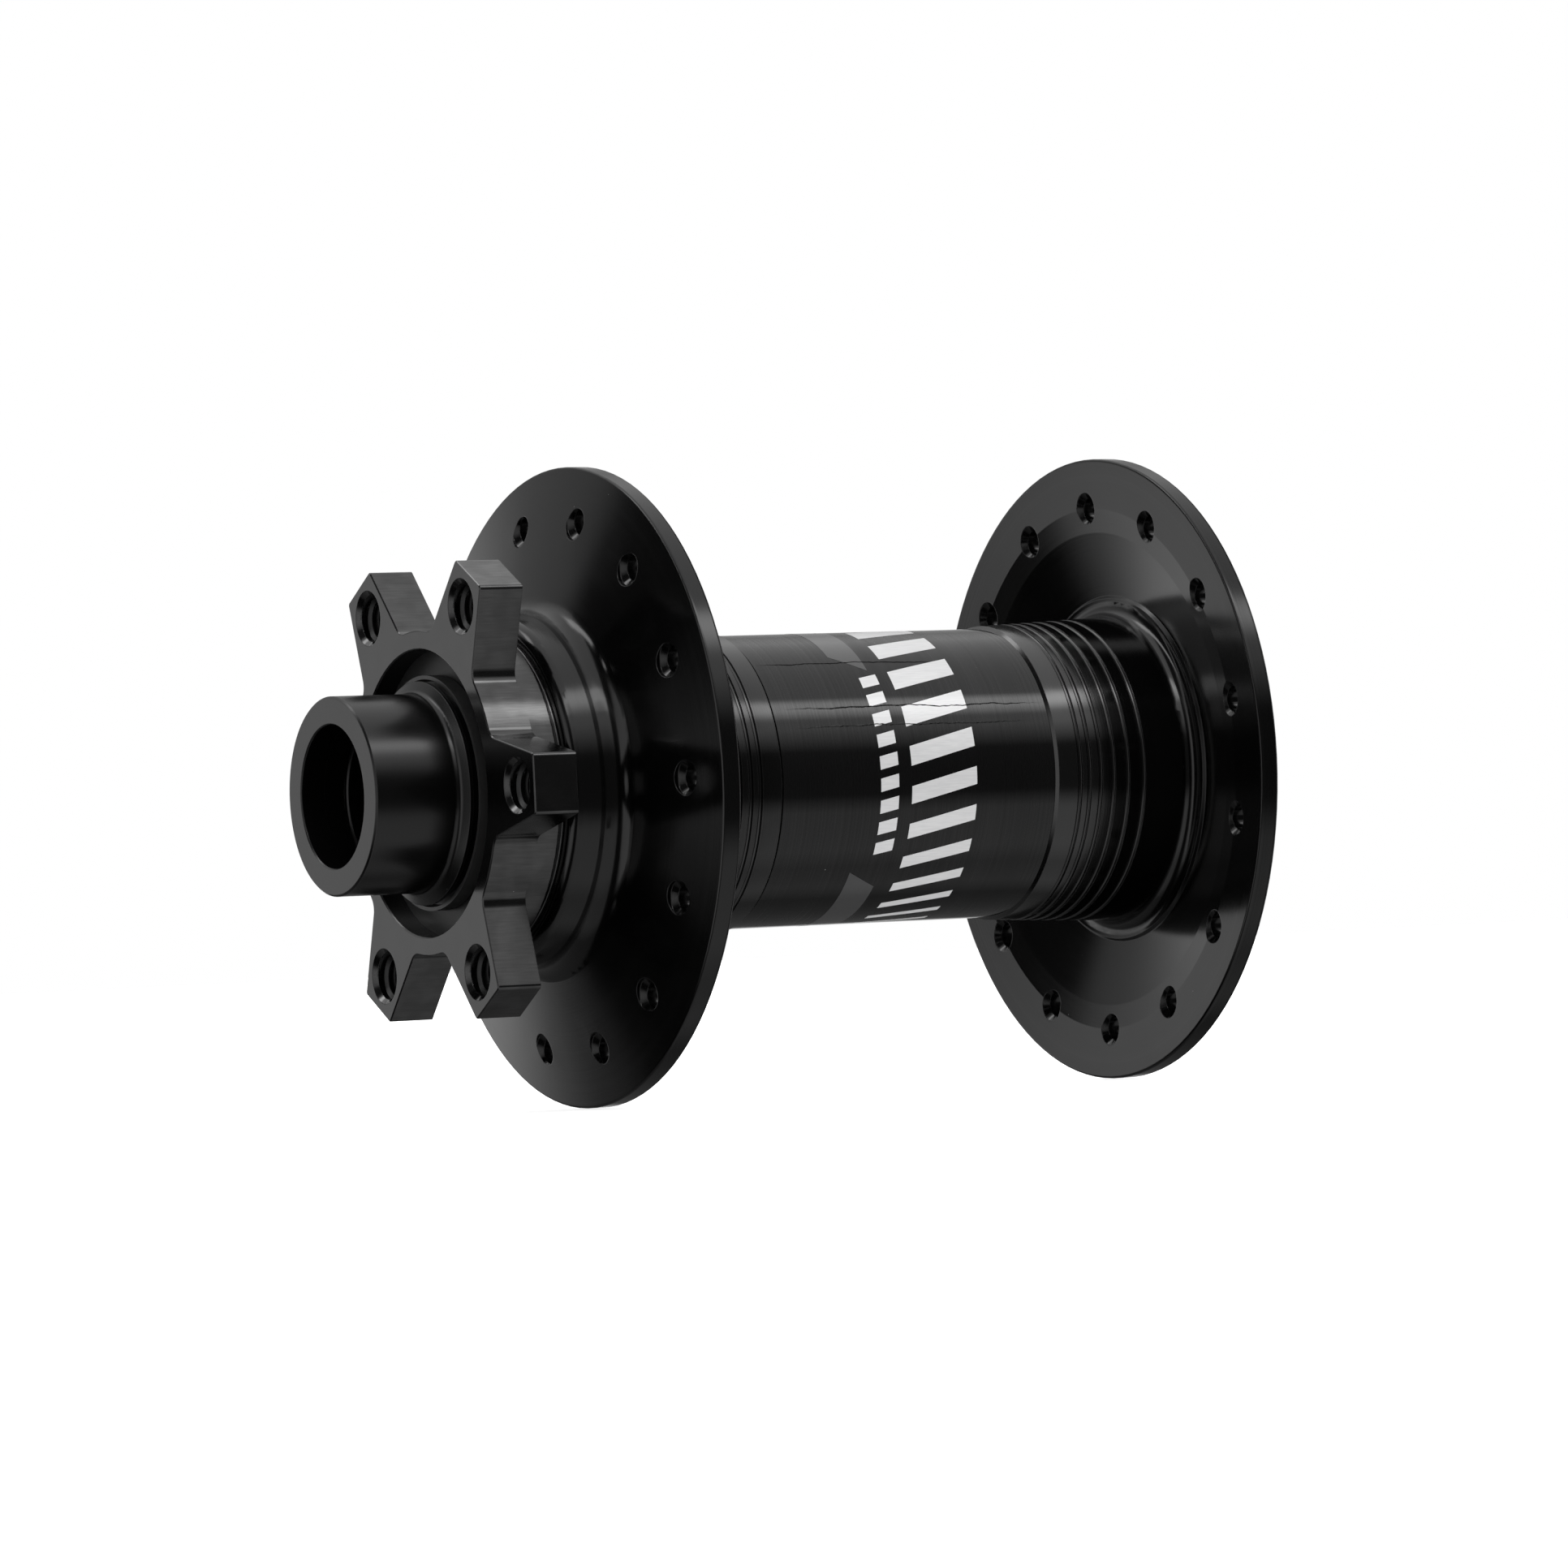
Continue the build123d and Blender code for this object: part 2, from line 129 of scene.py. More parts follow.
def blend_colours(tree, share, first, second):
    """A colour between two others."""
    node = add_node(tree, "ShaderNodeMix", {0: share}, data_type="RGBA")
    for place, value in ((6, first), (7, second)):
        if isinstance(value, bpy.types.NodeSocket):
            tree.links.new(value, node.inputs[place])
        else:
            node.inputs[place].default_value = (*value, 1)
    return node.outputs[2]


def open_group(name, inputs, outputs):
    """A node group with named numbers going in and named values coming out."""
    group = bpy.data.node_groups.new(name, "ShaderNodeTree")
    for label, value in inputs.items():
        socket = group.interface.new_socket(name=label, in_out="INPUT", socket_type="NodeSocketFloat")
        socket.default_value = value
    for label in outputs:
        kind = "NodeSocketVector" if label in ("Millimetres", "Normal") else "NodeSocketFloat"
        group.interface.new_socket(name=label, in_out="OUTPUT", socket_type=kind)
    return group, group.nodes.new("NodeGroupInput").outputs, group.nodes.new("NodeGroupOutput").inputs


def place_group(tree, group, **inputs):
    """The shared recipe, placed in a material with its own numbers."""
    named = {label.replace("_", " "): value for label, value in inputs.items()}
    return add_node(tree, "ShaderNodeGroup", named, node_tree=group).outputs


# %% [markdown]
# ## Where we are on the hub
#
# Tool marks follow the tool. A lathe leaves rings round the Y axis, and a milling cutter leaves lines along
# its own axis. Both are easy to draw once each point knows two things: how far it is from the hub's axis, and
# how far along it. We could unwrap each piece and paint a texture, but the object's own coordinates
# already hold both numbers and need no seams, so this first group hands them out in millimetres.

# %% A group that gives radius and distance along the hub
hub_place, _, hub_place_out = open_group("Place on the hub", {}, ["Millimetres", "Radius", "Along"])
coordinates = add_node(hub_place, "ShaderNodeTexCoord").outputs["Object"]
in_mm = add_node(
    hub_place, "ShaderNodeVectorMath", {0: coordinates, "Scale": 1 / MM}, operation="SCALE"
).outputs[0]
parts = add_node(hub_place, "ShaderNodeSeparateXYZ", {0: in_mm}).outputs
square_x = calculate(hub_place, "POWER", parts["X"], 2.0)
square_z = calculate(hub_place, "POWER", parts["Z"], 2.0)
squares = calculate(hub_place, "ADD", square_x, square_z)
hub_place.links.new(in_mm, hub_place_out["Millimetres"])
hub_place.links.new(calculate(hub_place, "SQRT", squares), hub_place_out["Radius"])
hub_place.links.new(parts["Y"], hub_place_out["Along"])
print("group:", hub_place.name)

# %% [markdown]
# ## Lathe marks
#
# Most of this hub was spun in a lathe. The tip of the tool leaves a very fine spiral that reads as rings, and
# slower bands where the feed or the load changed. One noise texture makes both if it is fed with radius and
# distance along instead of X, Y and Z: it then can't change round the hub, which is just what turning does.
# The group gives the rings as a value, for roughness and colour, and as a height, for a faint bump.

# %% A group for lathe marks
lathe_marks, lathe_in, lathe_out = open_group("Lathe marks", {"Spacing": 0.2}, ["Rings", "Bands"])
place = place_group(lathe_marks, hub_place)
turned_point = add_node(
    lathe_marks, "ShaderNodeCombineXYZ", {"X": place["Radius"], "Y": place["Along"]}
).outputs[0]
tight = add_node(
    lathe_marks,
    "ShaderNodeVectorMath",
    {0: turned_point, "Scale": calculate(lathe_marks, "DIVIDE", 1.0, lathe_in["Spacing"])},
    operation="SCALE",
).outputs[0]
rings = add_node(lathe_marks, "ShaderNodeTexNoise", {"Vector": tight, "Scale": 1.0, "Detail": 2.0})
bands = add_node(lathe_marks, "ShaderNodeTexNoise", {"Vector": turned_point, "Scale": 0.45, "Detail": 1.0})
lathe_marks.links.new(rings.outputs[0], lathe_out["Rings"])
lathe_marks.links.new(bands.outputs[0], lathe_out["Bands"])
print("group:", lathe_marks.name)

# %% [markdown]
# ## Cutter marks
#
# The six arms for the brake disc are cut with an end mill that stands parallel to the hub's axis, so its
# lines run straight along Y on every flank. Where the cutter lingers, in the curved gaps between arms, it
# chatters and leaves patches that shine differently. Stretching a noise along Y gives the lines, and a slow
# noise with its contrast raised gives the patches.

# %% A group for cutter marks
cutter_marks, cutter_in, cutter_out = open_group("Cutter marks", {"Spacing": 0.12}, ["Lines", "Patches"])
place = place_group(cutter_marks, hub_place)
stretched = add_node(
    cutter_marks, "ShaderNodeVectorMath", {0: place["Millimetres"], 1: (1.0, 0.05, 1.0)}, operation="MULTIPLY"
).outputs[0]
tight = add_node(
    cutter_marks,
    "ShaderNodeVectorMath",
    {0: stretched, "Scale": calculate(cutter_marks, "DIVIDE", 1.0, cutter_in["Spacing"])},
    operation="SCALE",
).outputs[0]
lines = add_node(cutter_marks, "ShaderNodeTexNoise", {"Vector": tight, "Scale": 1.0, "Detail": 2.0})
slow = add_node(
    cutter_marks, "ShaderNodeTexNoise", {"Vector": place["Millimetres"], "Scale": 0.4, "Detail": 1.0}
).outputs[0]
patches = add_node(
    cutter_marks, "ShaderNodeMapRange", {"Value": slow, "From Min": 0.4, "From Max": 0.6}
).outputs[0]
cutter_marks.links.new(lines.outputs[0], cutter_out["Lines"])
cutter_marks.links.new(patches, cutter_out["Patches"])
print("group:", cutter_marks.name)

# %% [markdown]
# ## Handling: smudges and dust
#
# Nothing that has been picked up is evenly clean. A slow noise stands for the faint film that fingers leave,
# and a few bright specks stand for dust. The specks come from a cell pattern: each cell has its own
# random colour, and only the few cells below a limit show a small dot at their middle.

# %% A group for smudges and dust
handling, handling_in, handling_out = open_group(
    "Handling", {"Smudge size": 9.0, "Dust": 0.05}, ["Smudge", "Speck"]
)
place = place_group(handling, hub_place)
smudge_scale = calculate(handling, "DIVIDE", 1.0, handling_in["Smudge size"])
smudge = add_node(
    handling,
    "ShaderNodeTexNoise",
    {"Vector": place["Millimetres"], "Scale": smudge_scale, "Detail": 4.0, "Roughness": 0.6},
)
cells = add_node(handling, "ShaderNodeTexVoronoi", {"Vector": place["Millimetres"], "Scale": 0.9})
cell_value = add_node(handling, "ShaderNodeSeparateColor", {0: cells.outputs["Color"]}).outputs[0]
speck = calculate(
    handling,
    "MULTIPLY",
    calculate(handling, "LESS_THAN", cell_value, handling_in["Dust"]),
    calculate(handling, "LESS_THAN", cells.outputs["Distance"], 0.045),
)
handling.links.new(smudge.outputs[0], handling_out["Smudge"])
handling.links.new(speck, handling_out["Speck"])
print("group:", handling.name)

# %% [markdown]
# ## Edges
#
# Every machined corner is broken a little, so it catches a fine line of light. Blender's Bevel node finds such
# corners while it renders: it gives the normal that a rounded corner would have, and where that differs from
# the true normal there is an edge. One group gives both: the rounded normal for shading, and the mask where a
# paler grey is painted, partly for anodising thin on a sharp corner and partly as a painted edge highlight.

# %% A group for broken edges
edges, edges_in, edges_out = open_group("Broken edges", {"Width": 0.1}, ["Edge", "Normal"])
rounded = add_node(
    edges, "ShaderNodeBevel", {"Radius": calculate(edges, "MULTIPLY", edges_in["Width"], MM)}, samples=4
).outputs[0]
true_normal = add_node(edges, "ShaderNodeNewGeometry").outputs["Normal"]
agreement = add_node(
    edges, "ShaderNodeVectorMath", {0: rounded, 1: true_normal}, operation="DOT_PRODUCT"
).outputs["Value"]
edge_mask = add_node(
    edges, "ShaderNodeMapRange", {"Value": agreement, "From Min": 0.985, "From Max": 0.9}
).outputs["Result"]
edges.links.new(edge_mask, edges_out["Edge"])
edges.links.new(rounded, edges_out["Normal"])
print("group:", edges.name)

# %% [markdown]
# ## Starting a finish
#
# Every finish begins with the Principled shader, which holds the physics of a surface in one node. Numbers
# that are the same all over, such as the strength of the mirror reflection or the metal share, are set
# straight on it. What changes over the surface, colour, roughness and relief, is fed in by nodes.

# %% A helper that starts a finish, and one that adds relief
finishes = {}


def start_finish(name, **settings):
    """A new material with its Principled shader, filed under its finish name."""
    material = bpy.data.materials.new(name)
    material.use_nodes = True
    tree = material.node_tree
    shader = tree.nodes["Principled BSDF"]
    for label, value in settings.items():
        shader.inputs[label.replace("_", " ")].default_value = value
    finishes[name] = material
    return tree, shader.inputs


def add_relief(tree, shader, height, depth, normal=None):
    """A fine bump of the given depth in millimetres."""
    inputs = {"Height": height, "Strength": 1.0, "Distance": depth * MM}
    if normal is not None:
        inputs["Normal"] = normal
    bump = add_node(tree, "ShaderNodeBump", inputs)
    tree.links.new(bump.outputs[0], shader["Normal"])


# %% [markdown]
# ## Black anodised shell
#
# The shell is aluminium with a dyed oxide skin. The dye swallows nearly all light that enters, so what we see
# is the mirror reflection off the skin: a plain dielectric over black describes it better than metal does.
# The shell shows two finishes. The flanges and barrel are turned, and the disc mount is milled. They are one
# piece of metal, so we don't split the mesh: a mask from the distance along the hub chooses the marks. The
# flanks of the arms are cut last and brightest, and the barrel's bare ends are polished for the film, so both
# get a second reflection from the coat.

# %% Shell finish
anodised_black = (0.0010, 0.0010, 0.0011)
anodised_touched = (0.0020, 0.0020, 0.0021)
# The paler grey for broken edges is partly thin anodising and partly a painted highlight for light caught by the
# chamfer.
edge_wear_and_highlight_grey = (0.030, 0.030, 0.031)


def add_anodising(tree, shader, roughness_low, roughness_high, marks, smudge_share=0.35):
    """Dyed oxide skin: colour and roughness follow the marks, the smudges and the edges."""
    touched = place_group(tree, handling, Smudge_size=11.0, Dust=0.03)
    edge_outputs = place_group(tree, edges, Width=0.12)
    # Broken edges get a paler grey: partly thin anodising, partly a painted highlight along the edge.
    edge_wear_and_highlight = calculate(tree, "MULTIPLY", edge_outputs["Edge"], 0.55)
    skin = blend_colours(tree, touched["Smudge"], anodised_black, anodised_touched)
    skin = blend_colours(tree, edge_wear_and_highlight, skin, edge_wear_and_highlight_grey)
    skin = blend_colours(tree, calculate(tree, "MULTIPLY", touched["Speck"], 0.7), skin, (0.22, 0.22, 0.22))
    share = calculate(
        tree,
        "ADD",
        calculate(tree, "MULTIPLY", marks, 1 - smudge_share),
        calculate(tree, "MULTIPLY", touched["Smudge"], smudge_share),
    )
    tree.links.new(skin, shader["Base Color"])
    tree.links.new(blend_values(tree, share, roughness_low, roughness_high), shader["Roughness"])
    return edge_outputs["Normal"]


web_depth = 3.4            # the milled gaps run on this far behind the arms
mount_mouth_radius = 15.4  # inside this the shell is turned again
mount_starts_y = disc_face_y - plate_thickness - web_depth
tree, shader = start_finish("shell_anodised", IOR=1.52, Metallic=0.0, Coat_IOR=1.8, Coat_Roughness=0.12)
place = place_group(tree, hub_place)
turned = place_group(tree, lathe_marks, Spacing=0.16)
milled = place_group(tree, cutter_marks, Spacing=0.14)
in_mount = calculate(
    tree,
    "MULTIPLY",
    calculate(tree, "GREATER_THAN", place["Along"], mount_starts_y),
    calculate(tree, "GREATER_THAN", place["Radius"], mount_mouth_radius),
)
mill_look = calculate(
    tree,
    "ADD",
    calculate(tree, "MULTIPLY", milled["Lines"], 0.75),
    calculate(tree, "MULTIPLY", milled["Patches"], 0.25),
)
turn_look = calculate(
    tree,
    "ADD",
    calculate(tree, "MULTIPLY", turned["Rings"], 0.6),
    calculate(tree, "MULTIPLY", turned["Bands"], 0.4),
)
marks = blend_values(tree, in_mount, turn_look, mill_look)
shell_normal = add_anodising(tree, shader, 0.05, 0.24, marks)
behind_face = calculate(tree, "LESS_THAN", place["Along"], disc_face_y - 0.05)
on_flank = calculate(tree, "MULTIPLY", in_mount, behind_face)
line_sheen = blend_values(tree, milled["Lines"], 0.2, 1.0)
flank_sheen = calculate(tree, "MULTIPLY", line_sheen, blend_values(tree, milled["Patches"], 0.7, 1.0))
fades_out = {"Value": place["Radius"], "From Min": film_radius + 0.4, "From Max": film_radius + 1.8}
fades_out |= {"To Min": 1.0, "To Max": 0.0}
near_barrel = calculate(
    tree,
    "MULTIPLY",
    add_node(tree, "ShaderNodeMapRange", fades_out).outputs["Result"],
    calculate(tree, "LESS_THAN", place["Along"], film_high.y + 8.0),
)
coat_share = blend_values(tree, near_barrel, calculate(tree, "MULTIPLY", on_flank, flank_sheen), 0.4)
tree.links.new(coat_share, shader["Coat Weight"])
relief = blend_values(tree, in_mount, turned["Rings"], milled["Lines"])
add_relief(tree, shader, relief, 0.0025, shell_normal)
print("finish:", "shell_anodised")

# %% [markdown]
# ## Caps and axle
#
# The end caps and the axle tube are turned all over with a fine feed, so their rings are tight and their skin
# is a little softer than the shell's. The threads in the bolt holes are cut by a tap and are duller still. All
# three use the same groups with other numbers.

# %% Cap, axle and thread finishes
for name, low, high, spacing in (
    ("cap_anodised", 0.18, 0.32, 0.10),
    ("axle_anodised", 0.14, 0.30, 0.18),
    ("thread_anodised", 0.30, 0.50, 0.08),
):
    tree, shader = start_finish(name, IOR=1.54, Metallic=0.0)
    turned = place_group(tree, lathe_marks, Spacing=spacing)
    skin_normal = add_anodising(tree, shader, low, high, turned["Rings"], 0.3)
    add_relief(tree, shader, turned["Rings"], 0.0015, skin_normal)
    print("finish:", name)

# %% [markdown]
# ## Printed film
#
# A thin printed film is wrapped round the barrel under a clear coat. The film itself is matt and nearly black,
# and the coat gives it a second, sharper reflection: that is what the shader's coat is for. The film isn't
# perfectly flat: air and glue leave long shallow waves, and the lathe rings of the barrel press through it. They
# thin the coat here and there, so every reflection is crossed by fine lines.

# %% Film finish
tree, shader = start_finish(
    "printed_film", Specular_IOR_Level=0.1, Coat_Roughness=0.05, Coat_IOR=1.5
)
place = place_group(tree, hub_place)
touched = place_group(tree, handling, Smudge_size=7.0, Dust=0.04)
waves = add_node(
    tree, "ShaderNodeTexNoise", {"Vector": place["Millimetres"], "Scale": 0.55, "Detail": 3.0}
).outputs[0]
grain = add_node(
    tree, "ShaderNodeTexNoise", {"Vector": place["Millimetres"], "Scale": 9.0, "Detail": 1.0}
).outputs[0]
ink = blend_colours(tree, touched["Smudge"], (0.0016, 0.0016, 0.0017), (0.0034, 0.0034, 0.0035))
ink = blend_colours(tree, calculate(tree, "MULTIPLY", touched["Speck"], 0.8), ink, (0.3, 0.3, 0.3))
tree.links.new(ink, shader["Base Color"])
tree.links.new(blend_values(tree, grain, 0.3, 0.5), shader["Roughness"])
turned = place_group(tree, lathe_marks, Spacing=0.2)
tree.links.new(blend_values(tree, turned["Rings"], 0.55, 1.15), shader["Coat Weight"])
film_height = calculate(tree, "ADD", waves, calculate(tree, "MULTIPLY", grain, 0.04))
add_relief(tree, shader, film_height, 0.012)
print("finish:", "printed_film")

# %% [markdown]
# ## Bearing steel
#
# Two bearings sit deep inside and come into view when a cap is pulled off. Their rings are ground, which
# leaves very fine rings and a soft mirror, and the balls are lapped until nothing is left but the mirror.
# Both are true metals, so the metal share is 1 and the base colour tints the reflection.

# %% Steel finishes
for name, colour, low, high in (
    ("race_steel", (0.56, 0.56, 0.57), 0.16, 0.32),
    ("ball_steel", (0.68, 0.68, 0.69), 0.04, 0.12),
):
    tree, shader = start_finish(name, Metallic=1.0)
    turned = place_group(tree, lathe_marks, Spacing=0.08)
    touched = place_group(tree, handling, Smudge_size=5.0, Dust=0.02)
    edge_outputs = place_group(tree, edges, Width=0.08)
    tint = blend_colours(tree, touched["Smudge"], colour, tuple(0.86 * c for c in colour))
    tree.links.new(tint, shader["Base Color"])
    tree.links.new(blend_values(tree, turned["Rings"], low, high), shader["Roughness"])
    add_relief(tree, shader, turned["Rings"], 0.0008, edge_outputs["Normal"])
    print("finish:", name)

# %% [markdown]
# ## Rubber and plastics
#
# The seals, the wiper rings and the O-rings are black rubber, the dust shields are black plastic, and the ball
# cages are pale nylon. Moulded pieces have no tool lines, only the faint grain of the mould and a bloom where
# they were touched. They differ in colour, gloss and how coarse the grain is, so one loop makes them all.

# %% Rubber and plastic finishes
for name, dark, pale, low, high, grain_scale, depth in (
    ("seal_rubber", (0.012, 0.012, 0.012), (0.022, 0.022, 0.022), 0.42, 0.62, 7.0, 0.006),
    ("wiper_rubber", (0.014, 0.014, 0.014), (0.028, 0.028, 0.028), 0.3, 0.5, 5.0, 0.004),
    ("shield_plastic", (0.010, 0.010, 0.010), (0.018, 0.018, 0.018), 0.36, 0.52, 6.0, 0.005),
    ("cage_plastic", (0.50, 0.44, 0.33), (0.60, 0.55, 0.43), 0.38, 0.55, 4.0, 0.006),
):
    tree, shader = start_finish(name, IOR=1.5)
    place = place_group(tree, hub_place)
    touched = place_group(tree, handling, Smudge_size=4.0, Dust=0.05)
    grain = add_node(
        tree, "ShaderNodeTexNoise", {"Vector": place["Millimetres"], "Scale": grain_scale, "Detail": 3.0}
    ).outputs[0]
    body = blend_colours(tree, touched["Smudge"], dark, pale)
    body = blend_colours(tree, calculate(tree, "MULTIPLY", touched["Speck"], 0.5), body, (0.3, 0.3, 0.3))
    tree.links.new(body, shader["Base Color"])
    tree.links.new(blend_values(tree, grain, low, high), shader["Roughness"])
    add_relief(tree, shader, grain, depth)
    print("finish:", name)

# %% [markdown]
# ## Dressing the CAD pieces
#
# The record says which finish each piece wants. The meshes stay as they are: only the material in each slot
# changes.

# %% Give each CAD piece its finish
wanted = {part["node"]: part["material_slot"] for part in frame["record"]["subparts"]}
for node, piece in frame["nodes"].items():
    if not piece.material_slots:
        piece.data.materials.append(None)
    for place_on_piece in piece.material_slots:
        place_on_piece.material = finishes[wanted[node]]
print("dressed:", len(wanted))

# %% [markdown]
# ## Prints on the film
#
# The film carries silver prints and grey ink. They are flat patches bent round the barrel, so each is
# described by where it sits: an angle round the hub and a distance along it. A thin plate is then built
# straight on the cylinder. A texture could carry them too, but a plate keeps its crisp edge at any
# distance and stands a hair proud, as thick lacquer does.
#
# Angles are counted from the side that faces us, -X, upward. The patterns are plain slanted bars that spell
# nothing.


# %% A helper that lays slanted plates on the barrel
print_height = 0.015       # how far a print stands above the film
print_root = 0.03          # how far its edge reaches into the film


def barrel_point(radius, angle, along):
    """A point on the barrel, from millimetres and degrees to metres."""
    turn = math.radians(angle)
    return (-radius * math.cos(turn) * MM, along * MM, radius * math.sin(turn) * MM)


def add_mesh(name, points, faces, finish, body="shell"):
    """A new piece from its points and faces, riding on a body."""
    mesh = bpy.data.meshes.new(name)
    mesh.from_pydata(points, [], faces)
    mesh.validate()
    mesh.materials.append(finishes[finish])
    piece = bpy.data.objects.new(name, mesh)
    bpy.context.scene.collection.objects.link(piece)
    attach(piece, body)
    return piece


def slanted_plate(points, faces, start, height, slant, first_y, last_y, step=1.5):
    """Adds one closed plate: four corners on the cylinder, divided finely round the barrel."""
    across = max(2, math.ceil(height / step))
    along = max(1, math.ceil(abs(last_y - first_y) / 2.0), math.ceil(abs(slant) / step))
    base = len(points)
    for radius in (film_radius + print_height, film_radius - print_root):
        for i in range(across + 1):
            for j in range(along + 1):
                angle = start + height * i / across + slant * j / along
                points.append(barrel_point(radius, angle, first_y + (last_y - first_y) * j / along))
    row = along + 1
    layer = row * (across + 1)

    def at(i, j, inner=0):
        return base + inner * layer + i * row + j

    for i in range(across):
        for j in range(along):
            faces.append((at(i, j), at(i, j + 1), at(i + 1, j + 1), at(i + 1, j)))
            faces.append((at(i, j, 1), at(i + 1, j, 1), at(i + 1, j + 1, 1), at(i, j + 1, 1)))
    for i in range(across):
        faces.append((at(i, 0), at(i + 1, 0), at(i + 1, 0, 1), at(i, 0, 1)))
        faces.append((at(i, along), at(i, along, 1), at(i + 1, along, 1), at(i + 1, along)))
    for j in range(along):
        faces.append((at(0, j), at(0, j, 1), at(0, j + 1, 1), at(0, j + 1)))
        faces.append((at(across, j), at(across, j + 1), at(across, j + 1, 1), at(across, j, 1)))


# %% [markdown]
# ### Silver and grey
#
# The silver is a pale metal powder bound in clear lacquer and brushed round the barrel. A pure metal would
# show only what it mirrors and go dark low down, so the metal share is about a third: the rest scatters
# light like paint. The grey is ink with a little of the same powder. Both lie under a clear coat.

# %% Silver and grey finishes
tree, shader = start_finish("silver_foil", Metallic=0.35, Coat_Weight=0.6, Coat_Roughness=0.1)
place = place_group(tree, hub_place)
brushed = add_node(
    tree, "ShaderNodeVectorMath", {0: place["Millimetres"], 1: (7.0, 0.5, 7.0)}, operation="MULTIPLY"
).outputs[0]
strokes = add_node(tree, "ShaderNodeTexNoise", {"Vector": brushed, "Scale": 1.0, "Detail": 3.0}).outputs[0]
touched = place_group(tree, handling, Smudge_size=3.0, Dust=0.04)
foil = blend_colours(tree, strokes, (0.74, 0.74, 0.75), (0.98, 0.98, 0.98))
foil = blend_colours(tree, calculate(tree, "MULTIPLY", touched["Speck"], 0.6), foil, (0.1, 0.1, 0.1))
tree.links.new(foil, shader["Base Color"])
tree.links.new(blend_values(tree, strokes, 0.34, 0.58), shader["Roughness"])
add_relief(tree, shader, strokes, 0.003)

tree, shader = start_finish("grey_ink", IOR=1.5, Metallic=0.2, Coat_Weight=1.0, Coat_Roughness=0.08)
place = place_group(tree, hub_place)
powder = add_node(
    tree, "ShaderNodeTexNoise", {"Vector": place["Millimetres"], "Scale": 14.0, "Detail": 1.0}
).outputs[0]
touched = place_group(tree, handling, Smudge_size=5.0, Dust=0.04)
ink = blend_colours(tree, powder, (0.040, 0.040, 0.041), (0.070, 0.070, 0.071))
ink = blend_colours(tree, calculate(tree, "MULTIPLY", touched["Speck"], 0.6), ink, (0.3, 0.3, 0.3))
tree.links.new(ink, shader["Base Color"])
tree.links.new(blend_values(tree, touched["Smudge"], 0.3, 0.48), shader["Roughness"])
add_relief(tree, shader, powder, 0.002)
print("finishes:", "silver_foil, grey_ink")

# %% [markdown]
# ### Laying out the bars
#
# A ladder of wide bars climbs round the barrel, thin at its foot and broad at its head, with a column of
# short dashes beside it. The same set is printed twice, on opposite sides, so the barrel looks finished from
# any angle. Two slanted grey bands a side close the pattern at the top and the bottom.

# %% Silver bars, dashes and grey bands
ladder_y = (-5.9, -13.9)
dash_y = (-2.1, -4.3)
band_y = (0.1, -3.6)
for side_number, turn in enumerate((0, 180), 1):
    points, faces = [], []
    angle = -86.0
    for n in range(12):
        height = 2.5 + 0.75 * n
        slanted_plate(points, faces, turn + angle, height, 7.0, *ladder_y)
        angle += height + 7.9
    add_mesh(f"film_silver_ladder_{side_number}", points, faces, "silver_foil")
    points, faces = [], []
    for n in range(9):
        slanted_plate(points, faces, turn - 33 + 8.6 * n, 5.2, 1.8, *dash_y)
    add_mesh(f"film_silver_dashes_{side_number}", points, faces, "silver_foil")
    points, faces = [], []
    slanted_plate(points, faces, turn + 54, 38, -9, *band_y)
    slanted_plate(points, faces, turn - 83, 42, -8, *band_y)
    add_mesh(f"film_grey_bands_{side_number}", points, faces, "grey_ink")
print("film prints from y", ladder_y[1], "to", band_y[0])

# %% [markdown]
# ## Creases in the film
#
# Where the film is stretched round the barrel it leaves hair-thin creases that run along the hub, never quite
# straight. Each is a tiny raised bead with a wandering path. The path is a random walk with a fixed seed, so
# the hub comes out the same every time.


# %% Film creases
def add_crease(name, angle, start_y, end_y, seed):
    """A thin bead along the film whose angle wanders a little."""
    chance = random.Random(seed)
    count = 90
    width, height = 0.12, 0.06
    points, faces = [], []
    drift = 0.0
    for n in range(count + 1):
        drift = 0.9 * drift + chance.uniform(-0.2, 0.2)
        along = start_y + (end_y - start_y) * n / count
        slender = min(1.0, 6 * n / count, 6 * (count - n) / count)
        half = math.degrees(width / film_radius) * (0.25 + 0.75 * slender) * chance.uniform(0.7, 1.2)
        middle = angle + drift
        top = film_radius + 0.004 + height * slender
        points.append(barrel_point(film_radius - print_root, middle - half, along))
        points.append(barrel_point(top, middle, along))
        points.append(barrel_point(film_radius - print_root, middle + half, along))
    for n in range(count):
        a, b = 3 * n, 3 * (n + 1)
        for first, second in ((0, 1), (1, 2), (2, 0)):
            faces.append((a + first, a + second, b + second, b + first))
    faces.append((0, 2, 1))
    faces.append((3 * count, 3 * count + 1, 3 * count + 2))
    return add_mesh(name, points, faces, "printed_film")


film_ends = (film_low.y + 0.3, film_high.y - 0.3)
for number, (angle, start, end) in enumerate(
    (
        (50, film_ends[1], film_ends[0] + 10),
        (27, film_ends[1] - 1.2, film_ends[0]),
        (19, film_ends[1] - 2.0, film_ends[0] + 2),
        (-118, film_ends[1], film_ends[0] + 4),
        (150, film_ends[1] - 3, film_ends[0]),
    ),
    1,
):
    add_crease(f"film_crease_{number}", angle, start, end, number)
print("creases:", number)

# %% [markdown]
# ## Threads in the bolt holes
#
# The six holes take small screws. In CAD each is a plain bore of the thread's outer diameter, which is the
# right size to fit, and the thread is ours to add. A thread is a ridge that winds into the hole: we sweep
# a small flat-topped triangle round and down. At both ends the ridge runs out into the wall, as a tap leaves
# it.

# %% Thread ridges
thread_pitch = 0.8
thread_root = 2.54         # just inside the wall of the bore
thread_crest = 2.08
thread_top_y = disc_face_y - 0.75
thread_bottom_y = disc_face_y - plate_thickness + 0.35


